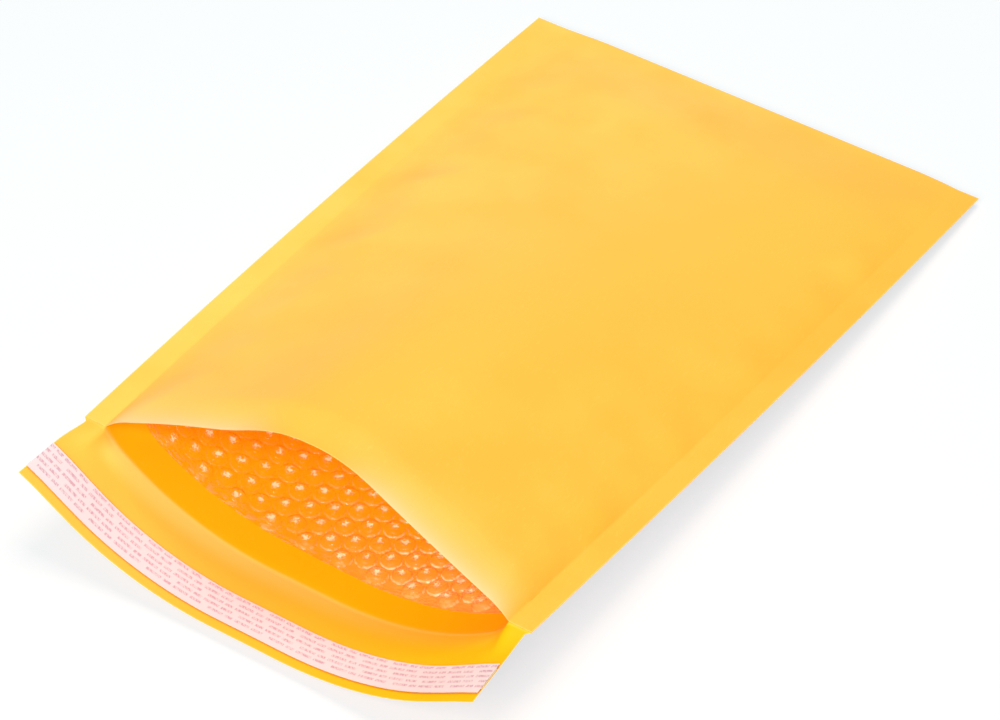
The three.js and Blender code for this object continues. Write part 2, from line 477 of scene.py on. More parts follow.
class Graph:
    """The nodes of one material."""

    def __init__(self, name: str) -> None:
        """Start an empty node tree.

        Args:
            name: The material's name.
        """
        self.material = bpy.data.materials.new(name)
        self.material.use_nodes = True
        self.tree = self.material.node_tree
        self.tree.nodes.clear()

    def node(
        self,
        kind: str,
        settings: dict[str, object] | None = None,
        sockets: dict[str | int, Value] | None = None,
        output: str | int = 0,
    ) -> Socket:
        """Add one node.

        Args:
            kind: The node's type.
            settings: Its settings, such as an operation, set before its sockets.
            sockets: Values or links of its inputs, by name or number.
            output: Which output to hand back.

        Returns:
            The chosen output.
        """
        made = self.tree.nodes.new(kind)
        for name, value in (settings or {}).items():
            setattr(made, name, value)
        for name, value in (sockets or {}).items():
            if isinstance(value, Socket):
                self.tree.links.new(value.output, made.inputs[name])
            else:
                made.inputs[name].default_value = value
        return Socket(self, made.outputs[output] if made.outputs else None)

    def attribute(self, name: str) -> Socket:
        """Read a mesh's own number."""
        return self.node("ShaderNodeAttribute", {"attribute_name": name}, output="Fac")

    def place(self) -> Socket:
        """The place on the object, in metres."""
        return self.node("ShaderNodeTexCoord", output="Object")

    def part(self, place: Socket, axis: str) -> Socket:
        """One part of a place, by the name of its axis."""
        return self.node("ShaderNodeSeparateXYZ", None, {0: place}, output=axis)

    def stretched(self, place: Socket, factors: Place) -> Socket:
        """Scale a place along each axis."""
        return self.node("ShaderNodeVectorMath", {"operation": "MULTIPLY"}, {0: place, 1: factors})

    def noise(
        self, place: Socket, scale: float, detail: float = 2.0, roughness: float = 0.5
    ) -> Socket:
        """Smooth noise from 0 to 1."""
        return self.node(
            "ShaderNodeTexNoise",
            None,
            {"Vector": place, "Scale": scale, "Detail": detail, "Roughness": roughness},
        )

    def mix(self, share: Value, first: Socket | Colour, second: Socket | Colour) -> Socket:
        """Blend two colours.

        Args:
            share: 0 for the first and 1 for the second.
            first: A colour.
            second: Another colour.

        Returns:
            The blended colour.
        """
        # A Mix node's colour sockets share their names with others, so they go by number.
        colours = [c if isinstance(c, Socket) else (*c, 1.0) for c in (first, second)]
        return self.node(
            "ShaderNodeMix",
            {"data_type": "RGBA"},
            {0: share, 6: colours[0], 7: colours[1]},
            output=2,
        )

    def bump(self, height: Socket, distance: float, strength: float = 1.0) -> Socket:
        """A normal tilted by a height in metres times distance."""
        return self.node(
            "ShaderNodeBump", None, {"Height": height, "Distance": distance, "Strength": strength}
        )

    def surface(self, sockets: dict[str | int, Value]) -> bpy.types.Material:
        """Close the material with one Principled surface.

        Args:
            sockets: Values or links of the shader's inputs.

        Returns:
            The finished material.
        """
        shader = self.node("ShaderNodeBsdfPrincipled", None, sockets)
        self.node("ShaderNodeOutputMaterial", None, {"Surface": shader})
        return self.material


@dataclass(frozen=True)
class KraftFinish:
    """Golden kraft paper: smooth outside, rawer inside, pale where fibres are cut, with painted
    shade to the right, painted light and highlights along the crease and the front lip, and a
    painted glow inside the pocket.
    """

    outside: Colour = (0.962, 0.530, 0.080)
    # Painted shade: the outside deepens towards the near right.
    outside_painted_shade: Colour = (0.955, 0.388, 0.022)
    cloudy: Colour = (0.950, 0.442, 0.040)
    flap: Colour = (0.970, 0.428, 0.050)
    # Painted shade: the flap deepens towards its right.
    flap_painted_shade: Colour = (0.970, 0.430, 0.004)
    # Painted light beside the flap's crease.
    crease_painted_light: Colour = (1.0, 0.640, 0.140)
    pocket: Colour = (1.0, 0.440, 0.004)
    # Painted shade: the pocket deepens towards its right.
    pocket_painted_shade: Colour = (1.0, 0.425, 0.001)
    fibre: Colour = (0.985, 0.560, 0.080)
    # Pale cut edges, and a painted highlight along the flap's crease.
    wear_and_glint: Colour = (1.0, 0.640, 0.140)
    # Painted highlight along the front lip.
    lip_highlight_colour: Colour = (1.0, 0.620, 0.350)
    # A painted glow inside the pocket, standing in for light that comes through the paper.
    painted_glow: Colour = (0.28, 0.035, 0.0)
    roughness: float = 0.55
    fibre_polish: float = 0.10
    slant: float = 0.35
    outer_band: Band = (-120.0 * MM, 120.0 * MM)
    raw_band: Band = (-100.0 * MM, 100.0 * MM)
    cloud_scale: float = 28.0
    cloud_band: Band = (0.3, 0.75)
    cloud_share: float = 0.6
    crease_fade: float = 0.85
    outer_strands: float = 0.22
    outer_gloss: float = 0.5
    raw_strands: float = 0.12
    raw_gloss: float = 0.12
    fibre_rates: Place = (900.0, 260.0, 900.0)
    fibre_band: Band = (0.56, 0.78)
    fibre_relief: float = 0.6
    grain_scale: float = 2600.0
    grain_relief: float = 0.4
    worn_least: float = 0.55
    worn_fibres: float = 0.45
    bump: float = 0.12 * MM

    def outer_material(self) -> bpy.types.Material:
        """Make the material of the smooth side, with painted shade that deepens it to the near
        right.

        Returns:
            The finished material.
        """
        graph = Graph("kraft_outside")
        place = graph.place()
        clouds = graph.noise(place, self.cloud_scale, 3.0).eased(*self.cloud_band)
        slanted = graph.part(place, "X") - self.slant * graph.part(place, "Y")
        # Painted shade, deeper towards the near right.
        ground = graph.mix(slanted.eased(*self.outer_band), self.outside, self.outside_painted_shade)
        colour = graph.mix(clouds * self.cloud_share, ground, self.cloudy)
        return self.fibrous(graph, colour, self.outer_strands, self.outer_gloss, UNLIT)

    def raw_material(
        self, name: str, left: Colour, right: Colour, painted_glow: Colour
    ) -> bpy.types.Material:
        """Make a material of the raw side, with painted shade that deepens it to the right and
        painted light that pales it beside the flap's crease on the left.

        Args:
            name: The material's name.
            left: Its colour on the left.
            right: Its colour on the right, deepened as painted shade.
            painted_glow: Light that comes through the paper.

        Returns:
            The finished material.
        """
        graph = Graph(name)
        rightward = graph.part(graph.place(), "X").eased(*self.raw_band)
        # Painted shade, deeper towards the right.
        ground = graph.mix(rightward, left, right)
        # Painted light beside the flap's crease, mostly on the left.
        crease_lit_share = graph.attribute("crease_lit") * (1.0 - self.crease_fade * rightward)
        colour = graph.mix(crease_lit_share, ground, self.crease_painted_light)
        return self.fibrous(graph, colour, self.raw_strands, self.raw_gloss, painted_glow)

    def materials(self) -> list[bpy.types.Material]:
        """Make the materials of the sheet's faces.

        Returns:
            One material for each Facing, in order.
        """
        return [
            self.outer_material(),
            self.raw_material("kraft_flap", self.flap, self.flap_painted_shade, UNLIT),
            self.raw_material("kraft_pocket", self.pocket, self.pocket_painted_shade, self.painted_glow),
        ]

    def fibrous(
        self, graph: Graph, colour: Socket, strands: float, gloss: float, painted_glow: Colour
    ) -> bpy.types.Material:
        """Lay fibres, pale cut edges and painted highlights along the crease and the front lip over
        a ground colour.

        Args:
            graph: The material's nodes so far.
            colour: The ground colour.
            strands: How much the pale fibres show.
            gloss: How strongly the face reflects.
            painted_glow: Light that comes through the paper.

        Returns:
            The finished material.
        """
        place = graph.place()
        fibres = graph.noise(graph.stretched(place, self.fibre_rates), 1.0, 3.0, 0.6)
        grain = graph.noise(place, self.grain_scale)
        colour = graph.mix(fibres.eased(*self.fibre_band) * strands, colour, self.fibre)
        relief = fibres * self.fibre_relief + grain * self.grain_relief
        broken = self.worn_least + self.worn_fibres * fibres
        # Pale cut edges, and a painted highlight along the flap's crease.
        colour = graph.mix((graph.attribute("wear_and_glint") * broken).clamped(), colour, self.wear_and_glint)
        # Painted highlight along the front lip.
        colour = graph.mix(graph.attribute("lip_highlight"), colour, self.lip_highlight_colour)
        return graph.surface(
            {
                "Base Color": colour,
                "Roughness": self.roughness - self.fibre_polish * fibres,
                "Specular IOR Level": gloss,
                # A painted glow, standing in for light that comes through the paper.
                "Emission Color": (*painted_glow, 1.0),
                "Emission Strength": 1.0,
                "Normal": graph.bump(relief, self.bump),
            }
        )


@dataclass(frozen=True)
class FilmFinish:
    """Clear bubble film over the paper, pale along its welds and lightly crumpled, with painted
    glints on the crowns and along the cut edge and a painted sheen on the right near the mouth.
    """

    clear_tint: Colour = (0.90, 0.18, 0.0)
    # Painted sheen on the right near the mouth.
    sheen_tint: Colour = (1.0, 0.40, 0.085)
    # White of the welded rims, and of the painted glints on the crowns and the cut edge.
    milk_and_glint: Colour = (0.97, 0.96, 0.60)
    clear: float = 0.10
    milk_and_glint_alpha: float = 0.72
    sheen_alpha: float = 0.30
    # Painted light: how far to the right the sheen and the lit rims reach.
    sheen_band: Band = (-60.0 * MM, 70.0 * MM)
    sheen_fade_band: Band = (-146.0 * MM, -95.0 * MM)
    streak_rates: Place = (260.0, 900.0, 500.0)
    ruffle_scale: float = 520.0
    crease_band: Band = (0.01, 0.06)
    crown_band: Band = (0.30, 0.76)
    ragged_scale: float = 760.0
    raggedness: float = 0.9
    # Painted glint on each crown.
    crown_glint_band: Band = (0.10, 0.40)
    crown_glint_crease: float = 0.75
    crown_glint_in_sheen: float = 0.35
    rim_band: Band = (0.015, 0.080)
    rim_streaks: Band = (0.3, 0.6)
    rim_hemmed: float = 0.85
    rim_share: float = 0.22
    rim_sheen: float = 0.50
    hem_streaks: Band = (0.46, 0.60)
    hem_share: float = 0.40
    hem_sheen: float = 0.32
    roughness: float = 0.08
    rough_ruffles: float = 0.12
    rough_sheen: float = 0.30
    refraction: float = 1.5
    coat: float = 0.40
    coat_in_sheen: float = 0.30
    coat_roughness: float = 0.05
    bump: float = 0.8 * MM
    bump_strength: float = 0.8

    def material(self) -> bpy.types.Material:
        """Make the film's material, from a painted glint on each crown, pale weld lines that
        painted light brightens on the right, painted glints along the cut hem and a painted sheen
        near the mouth.

        Returns:
            The finished material.
        """
        graph = Graph("bubble_film")
        place = graph.place()
        radius, edge = graph.attribute("radius"), graph.attribute("hem")
        # Painted sheen: paler, hazier film on the right near the mouth.
        sheen_side = graph.part(place, "X").eased(*self.sheen_band)
        painted_sheen = sheen_side * (1.0 - graph.part(place, "Y").eased(*self.sheen_fade_band))
        streak = graph.noise(graph.stretched(place, self.streak_rates), 1.0)
        ruffle = graph.noise(place, self.ruffle_scale, 1.0)
        crease = 1.0 - abs(ruffle - 0.5).eased(*self.crease_band)
        crown = 1.0 - radius.eased(*self.crown_band)
        ragged = radius + self.raggedness * (graph.noise(place, self.ragged_scale) - 0.5)
        # Painted highlight: a ragged glint on each crown.
        crown_glint = crown * (self.crown_glint_crease * crease + 1.0 - ragged.eased(*self.crown_glint_band))
        # Pale weld lines round each bubble, brightened on the right by painted light.
        rim = (1.0 - abs(radius - 1.0).eased(*self.rim_band)) * streak.eased(*self.rim_streaks)
        rim = rim * (1.0 - self.rim_hemmed * edge) * (self.rim_share + self.rim_sheen * sheen_side)
        # Painted glints in streaks along the film's cut edge, weaker on the right.
        hem = edge * streak.eased(*self.hem_streaks) * (self.hem_share - self.hem_sheen * sheen_side)
        milk_and_glint_mask = (crown_glint * (1.0 - self.crown_glint_in_sheen * painted_sheen) + rim + hem).clamped()
        tint = graph.mix(painted_sheen, self.clear_tint, self.sheen_tint)
        alpha = self.clear + self.milk_and_glint_alpha * milk_and_glint_mask + self.sheen_alpha * painted_sheen
        relief = ruffle * 0.5 + streak * 0.5
        return graph.surface(
            {
                "Base Color": graph.mix(milk_and_glint_mask, tint, self.milk_and_glint),
                "Roughness": self.roughness
                + self.rough_ruffles * ruffle
                + self.rough_sheen * painted_sheen,
                "IOR": self.refraction,
                "Alpha": alpha.clamped(),
                "Coat Weight": self.coat - self.coat_in_sheen * painted_sheen,
                "Coat Roughness": self.coat_roughness,
                "Normal": graph.bump(relief, self.bump, self.bump_strength),
            }
        )


@dataclass(frozen=True)
class ReleaseFinish:
    """Pale pink silicone-coated paper with a plain print of staggered dashes, and painted light
    that pales it towards the right.
    """

    paper: Colour = (0.70, 0.560, 0.555)
    # Painted light: the strip is paler towards its right.
    paper_painted_light: Colour = (0.74, 0.605, 0.580)
    printing: Colour = (0.40, 0.120, 0.190)
    rows: int = 5
    row_pitch: float = 3.0 * MM
    dash_height: float = 1.45 * MM
    block: float = 31.0 * MM
    stagger: float = 13.5 * MM
    dashes: tuple[Band, ...] = ((0.0, 7.5), (8.6, 12.4), (13.6, 21.0), (22.2, 27.6))
    stroke_slant: float = 0.6
    stroke_rates: Place = (1300.0, 620.0, 1.0)
    stroke_band: Band = (0.40, 0.60)
    ink: float = 0.13
    ink_strokes: float = 0.44
    painted_light_band: Band = (-110.0 * MM, 60.0 * MM)
    grain_scale: float = 1800.0
    roughness: float = 0.30
    rough_grain: float = 0.12
    bump: float = 0.04 * MM

    def printed(self, graph: Graph) -> Socket:
        """Where the dashes are printed.

        Args:
            graph: The material's nodes so far.

        Returns:
            1 on a dash and 0 off it.
        """
        across, along = graph.attribute("across"), graph.attribute("along")
        row = (along / self.row_pitch).floor()
        in_row = abs(along - (row + 0.5) * self.row_pitch) < self.dash_height / 2
        at = (across + row * self.stagger).wrapped(self.block)
        marks: Socket | float = 0.0
        for start, end in self.dashes:
            marks = (at > start * MM) * (at < end * MM) + marks
        return marks * in_row * (row < self.rows - 0.5)

    def material(self) -> bpy.types.Material:
        """Make the strip's material.

        Returns:
            The finished material.
        """
        graph = Graph("release_paper")
        across, along = graph.attribute("across"), graph.attribute("along")
        slanted = across - self.stroke_slant * along
        spot = graph.node("ShaderNodeCombineXYZ", None, {0: slanted, 1: along})
        strokes = graph.noise(graph.stretched(spot, self.stroke_rates), 1.0, 1.0)
        grain = graph.noise(graph.place(), self.grain_scale)
        # Painted light, paler towards the strip's right.
        colour = graph.mix(across.eased(*self.painted_light_band), self.paper, self.paper_painted_light)
        inked = self.ink + self.ink_strokes * strokes.eased(*self.stroke_band)
        shown = (self.printed(graph) * inked).clamped()
        return graph.surface(
            {
                "Base Color": graph.mix(shown, colour, self.printing),
                "Roughness": self.roughness + self.rough_grain * grain,
                "Normal": graph.bump(grain, self.bump),
            }
        )


@dataclass(frozen=True)
class AdhesiveFinish:
    """Pressure-sensitive adhesive, cream and shiny."""

    thick: Colour = (0.86, 0.72, 0.42)
    thin: Colour = (0.90, 0.62, 0.22)
    spread_rates: Place = (60.0, 500.0, 500.0)
    spread_band: Band = (0.35, 0.65)
    roughness: float = 0.22
    rough_spread: float = 0.15
    bump: float = 0.2 * MM

    def material(self) -> bpy.types.Material:
        """Make the adhesive's material.

        Returns:
            The finished material.
        """
        graph = Graph("adhesive")
        spread = graph.noise(graph.stretched(graph.place(), self.spread_rates), 1.0)
        return graph.surface(
            {
                "Base Color": graph.mix(spread.eased(*self.spread_band), self.thick, self.thin),
                "Roughness": self.roughness + self.rough_spread * spread,
                "Normal": graph.bump(spread, self.bump),
            }
        )


@dataclass(frozen=True)
class FloorFinish:
    """A matt studio floor, whose own glow lifts it to white."""

    bright: Colour = (0.36, 0.275, 0.218)
    soft: Colour = (0.35, 0.267, 0.211)
    glow: Colour = (0.480, 0.620, 0.700)
    cloud_scale: float = 3.0
    roughness: float = 0.9
    gloss: float = 0.1

    def material(self) -> bpy.types.Material:
        """Make the floor's material.

        Returns:
            The finished material.
        """
        graph = Graph("studio_floor")
        clouds = graph.noise(graph.place(), self.cloud_scale)
        return graph.surface(
            {
                "Base Color": graph.mix(clouds, self.bright, self.soft),
                "Roughness": self.roughness,
                "Specular IOR Level": self.gloss,
                "Emission Color": (*self.glow, 1.0),
                "Emission Strength": 1.0,
            }
        )


def add_mesh(
    name: str,
    points: np.ndarray,
    faces: list[Face],
    numbers: dict[str, np.ndarray],
    sharp_angle: float,
) -> bpy.types.Object:
    """Make a smooth-shaded mesh object with its own numbers for the shader.

    Args:
        name: The piece's name.
        points: Its points in metres.
        faces: Its faces, by point.
        numbers: One number for each point, by name.
        sharp_angle: Edges that turn by more stay sharp, in radians.

    Returns:
        The new object.
    """
    mesh = bpy.data.meshes.new(name)
    mesh.from_pydata(points.tolist(), [], faces)
    mesh.validate()
    mesh.polygons.foreach_set("use_smooth", [True] * len(mesh.polygons))
    mesh.set_sharp_from_angle(angle=sharp_angle)
    for key, values in numbers.items():
        own = mesh.attributes.new(key, "FLOAT", "POINT")
        own.data.foreach_set("value", np.asarray(values, dtype=np.float32))
    made = bpy.data.objects.new(name, mesh)
    bpy.context.scene.collection.objects.link(made)
    return made


def slab_faces(rows: int, columns: int) -> list[Face]:
    """Faces of a closed slab: an upper lattice, a lower one and the rim between them.

    Args:
        rows: Points of a lattice along.
        columns: Points of a lattice across.

    Returns:
        Quads by point, with the upper lattice's points first.
    """
    index = np.arange(2 * rows * columns).reshape(2, rows, columns)
    upper, lower = index
    corners = [
        (upper[:-1, :-1], upper[:-1, 1:], upper[1:, 1:], upper[1:, :-1]),
        (lower[:-1, 1:], lower[:-1, :-1], lower[1:, :-1], lower[1:, 1:]),
        (lower[1:, 0], lower[:-1, 0], upper[:-1, 0], upper[1:, 0]),
        (lower[:-1, -1], lower[1:, -1], upper[1:, -1], upper[:-1, -1]),
        (lower[0, :-1], lower[0, 1:], upper[0, 1:], upper[0, :-1]),
        (lower[-1, 1:], lower[-1, :-1], upper[-1, :-1], upper[-1, 1:]),
    ]
    quads = [np.stack([part.ravel() for part in quad], axis=1) for quad in corners]
    return np.concatenate(quads).tolist()


@dataclass(frozen=True)
class Crossline:
    """One line across the sheet, on the flap or, where it has a side, on a wall."""

    distance: float
    side: Side | None = None
    turn: float = 0.0

    @property
    def on_flap(self) -> bool:
        """Whether the line is on the flap."""
        return self.side is None


@dataclass
class KraftSheet:
    """One sheet of paper: flap, back wall, bottom fold and front wall."""

    pocket: Pocket
    finish: KraftFinish = field(default_factory=KraftFinish)
    name: str = "kraft_paper"
    edge_wear: float = 0.5 * MM
    crease_glint_width: float = 0.8 * MM
    # Painted highlight along the flap's crease.
    crease_glint_share: float = 0.35
    # Painted highlight along the front lip.
    lip_highlight_reach: float = 7.0 * MM
    lip_highlight_share: float = 0.62
    lip_highlight_band: Band = (10.0 * MM, 45.0 * MM)
    # Painted light beside the flap's crease.
    pale_flap: float = 13.0 * MM
    pale_pocket: float = 2.0 * MM
    pale_ease: float = 9.0 * MM
    pale_share: float = 0.95
    fold_steps: int = 12
    shoulders_fine: float = 1.4
    valley: float = 0.7 * MM
    flap_fine: float = 5.0 * MM
    crease_fine: float = 2.0 * MM
    lip_fine: float = 4.0 * MM
    lip_near: float = 30.0 * MM
    mouth_near: float = 120.0 * MM

    # Steps between the marks of each run of lines.
    ACROSS: ClassVar[tuple[int, ...]] = (44, 18, 1, 1, 4, 1)
    DOWN_FLAP: ClassVar[tuple[int, ...]] = (8, 4, 30, 1)
    DOWN_BACK: ClassVar[tuple[int, ...]] = (8, 10, 36, 32, 8)
    DOWN_FRONT: ClassVar[tuple[int, ...]] = (1, 4, 18, 36, 58, 8)

    def columns(self) -> np.ndarray:
        """Place the lines along the sheet, closest at the seams.

        Returns:
            Their places across, from one side to the other.
        """
        p = self.pocket
        right = stops_between(
            [
                0.0,
                p.seam_line - self.shoulders_fine * p.seam_shoulder,
                p.seam_line - self.valley,
                p.seam_line,
                p.seam_line + self.valley,
                p.half - self.edge_wear,
                p.half,
            ],
            self.ACROSS,
        )
        return np.concatenate([-right[:0:-1], right])

    def rows(self) -> list[Crossline]:
        """Place the lines across the sheet, closest at its crease, its fold and its ends.

        Returns:
            The lines, from the flap's free end round the fold to the front lip.
        """
        p = self.pocket
        flap = stops_between(
            [0.0, p.notch, self.flap_fine, p.flap - self.edge_wear, p.flap], self.DOWN_FLAP
        )
        deep = [self.mouth_near, p.fold_line - p.fold_shoulder, p.fold_line]
        back = stops_between([0.0, self.crease_fine, p.lining_setback, *deep], self.DOWN_BACK)
        front = stops_between(
            [0.0, self.edge_wear, self.lip_fine, self.lip_near, *deep], self.DOWN_FRONT
        )
        turns = np.linspace(0.0, math.pi / 2, self.fold_steps + 1)[1:]
        path = [Crossline(distance) for distance in flap[:0:-1]]
        path += [Crossline(v, Side.BACK) for v in back]
        path += [Crossline(p.fold_line, Side.BACK, turn) for turn in turns]
        path += [Crossline(p.fold_line, Side.FRONT, turn) for turn in turns[-2::-1]]
        path += [Crossline(v, Side.FRONT) for v in front[::-1]]
        return path

    def line(self, u: np.ndarray, row: Crossline, height: float) -> np.ndarray:
        """Points of one line across.

        Args:
            u: Places across.
            row: Which line.
            height: Height above the paper's middle, inwards.

        Returns:
            The line's points.
        """
        p, v = self.pocket, row.distance
        if row.on_flap:
            narrowed = 1.0 - p.flap_inset / p.half * min(v / p.notch, 1.0)
            return p.flap_point(u * narrowed, v, height + p.crease_bead(v))
        depth = p.paper_depth(u, v) - height
        if row.side is Side.BACK:
            depth = depth - p.crease_bead(v) * p.seam_rise(u, v)
        else:
            depth = depth + p.swell(u, v)
        return p.pocket_point(u, v, row.side, depth, row.turn)

    def wear_and_crease_glint(self, u: np.ndarray, row: Crossline) -> np.ndarray:
        """How far one line's fibres are cut, with a painted highlight along the flap's crease.

        Args:
            u: Places across.
            row: Which line.

        Returns:
            0 on whole paper and 1 on a cut edge.
        """
        p = self.pocket
        side = smoothstep(np.abs(u), p.half - self.edge_wear, p.half)
        if row.side is Side.FRONT:
            folded, cut = 0.0, row.distance <= 0.0
        else:
            # Painted highlight along the flap's crease.
            folded = self.crease_glint_share * math.exp(-((row.distance / self.crease_glint_width) ** 2))
            cut = row.on_flap and row.distance >= p.flap
        return np.maximum(np.maximum(side, folded), float(cut))

    def lip_highlight(self, u: np.ndarray, row: Crossline) -> np.ndarray:
        """How much painted highlight pales one line of the front lip, most on its flanks.

        Args:
            u: Places across.
            row: Which line.

        Returns:
            The bleached share at each place, 0 to 1.
        """
        if row.side is not Side.FRONT:
            return np.zeros_like(u)
        flank = smoothstep(np.abs(u), *self.lip_highlight_band) * self.pocket.seam_rise(u, row.distance)
        return self.lip_highlight_share * flank * math.exp(-row.distance / self.lip_highlight_reach)

    def paleness(self, u: np.ndarray, row: Crossline) -> np.ndarray:
        """How much painted light pales one line beside the flap's crease, between the seams.

        Args:
            u: Places across.
            row: Which line.

        Returns:
            The paleness at each place, 0 to 1.
        """
        reach = self.pale_flap if row.on_flap else self.pale_pocket
        seam_line = self.pocket.seam_line
        between = 1.0 - smoothstep(np.abs(u), seam_line - self.pale_ease, seam_line)
        return self.pale_share * between * (1.0 - smoothstep(row.distance, 0.0, reach))

    def build(self) -> bpy.types.Object:
        """Make the sheet, dress it, hang it on the body and hide the CAD part it replaces.

        Returns:
            The sheet.
        """
        p = self.pocket
        u, rows = self.columns(), self.rows()
        faces = slab_faces(len(rows), len(u))
        lattices = [
            np.array([self.line(u, row, height) for row in rows])
            for height in (p.paper / 2, -p.paper / 2)
        ]
        points = np.concatenate([lattice.reshape(-1, 3) for lattice in lattices])
        readings = {"wear_and_glint": self.wear_and_crease_glint, "lip_highlight": self.lip_highlight, "crease_lit": self.paleness}
        numbers = {
            key: np.tile(np.array([read(u, row) for row in rows]).ravel(), 2)
            for key, read in readings.items()
        }
        made = add_mesh(self.name, points, faces, numbers, SHARP_PAPER)
        for material in self.finish.materials():
            made.data.materials.append(material)
        band = len(u) - 1
        faced = np.full(len(made.data.polygons), Facing.OUTSIDE.value, dtype=np.int32)
        faced[: band * (len(rows) - 1)] = Facing.POCKET.value
        faced[: band * sum(row.on_flap for row in rows)] = Facing.FLAP.value
        made.data.polygons.foreach_set("material_index", faced)
        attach(made, BODY)
        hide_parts("kraft_sheet")
        return made


@dataclass
class BubbleLining:
    """Bubble film inside both walls, of close-packed domes between two welded webs."""

    pocket: Pocket
    finish: FilmFinish = field(default_factory=FilmFinish)
    name: str = "bubble_film"
    pitch: float = 10.6 * MM
    radius: float = 4.75 * MM
    skew: float = 0.018
    skew_depth: float = 120.0 * MM
    film: float = 0.15 * MM
    shoulder_tuck: float = 0.9 * MM
    hem: float = 8.0 * MM
    fine_depth: float = 105.0 * MM
    columns: int = 24
    seed: int = 7
    fullness: Band = (0.70, 0.90)
    dimples: Band = (0.05, 0.24)
    leans: Band = (-0.14, 0.14)
    fold_gap: float = 0.5 * MM
    side_share: float = 0.4
    end_share: float = 0.6

    # A bubble's rings, each with its share of the radius and its share of the height.
    FINE: ClassVar[tuple[Pair, ...]] = (
        (1.06, 0.0),
        (1.0, 0.03),
        (0.95, 0.42),
        (0.84, 0.78),
        (0.64, 1.0),
        (0.34, 1.0),
    )
    PLAIN: ClassVar[tuple[Pair, ...]] = ((1.02, 0.0), (0.92, 0.55), (0.60, 0.95))
    FINE_SIDES: ClassVar[int] = 24
    PLAIN_SIDES: ClassVar[int] = 12
    DIMPLE_REACH: ClassVar[float] = 0.64
    FLAT_RADIUS: ClassVar[float] = 1.4
    WELD: ClassVar[float] = 0.2 * MM
    SLICE: ClassVar[float] = 0.25 * MM

    @property
    def step(self) -> float:
        """Distance across between two columns of bubbles."""
        return 2 * self.pocket.seam_line / self.columns

    def centres(self) -> np.ndarray:
        """Place the bubbles of one wall, every second column half a pitch further in.

        Returns:
            Their middles, as (u, v).
        """
        p = self.pocket
        rows = int((p.fold_line - p.lining_setback) / self.pitch - 0.5)
        across = (np.arange(self.columns) + 0.5) * self.step - p.seam_line
        first = p.lining_setback + self.pitch / 2
        return np.array(
            [
                (u, first + (row + 0.5 * (column % 2)) * self.pitch)
                for column, u in enumerate(across)
                for row in range(rows)
            ]
        )

    def cell_outline(self) -> np.ndarray:
        """Draw a bubble's six-sided cell about its middle.

        Returns:
            Its corners in turn, with the middle of a side after each.
        """
        tip, flank = self.step * 2 / 3, self.step / 3
        half = self.pitch / 2
        corners = np.array(
            [(tip, 0), (flank, half), (-flank, half), (-tip, 0), (-flank, -half), (flank, -half)]
        )
        middles = (corners + np.roll(corners, -1, axis=0)) / 2
        return np.stack([corners, middles], axis=1).reshape(-1, 2)

    def flat_wall(self, side: Side) -> tuple[np.ndarray, np.ndarray, list[Face]]:
        """One wall's film laid flat.

        Args:
            side: Which wall.

        Returns:
            Points as (u, v, share of a dome's height), the radius at each, and the faces. Faces
            of the dome side come first, then the backing and the rim between them.
        """
        draws = np.random.default_rng(self.seed + side.value)
        outline = self.cell_outline()
        points: list[Place] = []
        radii: list[float] = []
        found: dict[tuple[int, int], int] = {}
        domes: list[Face] = []
        backs: list[list[int]] = []
        for u, v in self.centres():
            border = []
            for du, dv in outline:
                key = (round((u + du) / self.WELD), round((v + dv) / self.WELD))
                if key not in found:
                    found[key] = len(points)
                    points.append((u + du, v + dv, 0.0))
                    radii.append(self.FLAT_RADIUS)
                border.append(found[key])
            backs.append(border)
            fine = side is Side.BACK and v < self.fine_depth
            self._dome(points, radii, domes, border, (u, v), fine, draws)
        flat = np.array(points)
        self._square_off(flat, domes)
        skewed = 1.0 - smoothstep(flat[:, 1], self.pocket.lining_setback, self.skew_depth)
        flat[:, 1] -= self.skew * flat[:, 0] * skewed
        return flat, np.array(radii), self._closed(domes, backs, len(flat))

    def _dome(
        self,
        points: list[Place],
        radii: list[float],
        faces: list[Face],
        border: list[int],
        centre: Pair,
        fine: bool,
        draws: np.random.Generator,
    ) -> None:
        """Add one bubble's rings and crown inside its cell.

        Args:
            points: Points so far, which grow.
            radii: Radius at each point, which grows.
            faces: Faces so far, which grow.
            border: The cell's outline, by point.
            centre: The bubble's middle.
            fine: Whether the bubble is one that can be looked at.
            draws: Where its small differences come from.
        """
        sides = self.FINE_SIDES if fine else self.PLAIN_SIDES
        full = draws.uniform(*self.fullness)
        dimple = draws.uniform(*self.dimples)
        lean = draws.uniform(*self.leans, 2)
        turns = np.arange(sides) * 2 * math.pi / sides
        ring = border
        for share, height in self.FINE if fine else self.PLAIN:
            inner = list(range(len(points), len(points) + sides))
            for turn in turns:
                du, dv = math.cos(turn), math.sin(turn)
                sunk = dimple * max(1.0 - share / self.DIMPLE_REACH, 0.0)
                tall = (height - sunk) * full * (1.0 + (lean[0] * du + lean[1] * dv) * share)
                reach = share * self.radius
                points.append((centre[0] + reach * du, centre[1] + reach * dv, min(tall, 1.0)))
                radii.append(share)
            self._bridge(faces, ring, inner)
            ring = inner
        crown = len(points)
        points.append((*centre, full * (1.0 - dimple)))
        radii.append(0.0)
        for first, second in zip(ring, ring[1:] + ring[:1]):
            faces.append((first, second, crown))

    @staticmethod
    def _bridge(faces: list[Face], outer: list[int], inner: list[int]) -> None:
        """Join two rings.

        Args:
            faces: Faces so far, which grow.
            outer: The outer ring, by point.
            inner: The inner ring, with as many points as the outer or twice as many.
        """
        fold = len(inner) // len(outer)
        for k, first in enumerate(outer):
            second = outer[(k + 1) % len(outer)]
            near = [inner[(k * fold + step) % len(inner)] for step in range(fold + 1)]
            if fold == 1:
                faces.append((first, second, near[1], near[0]))
            else:
                faces.append((first, near[1], near[0]))
                faces.append((first, second, near[1]))
                faces.append((second, near[2], near[1]))

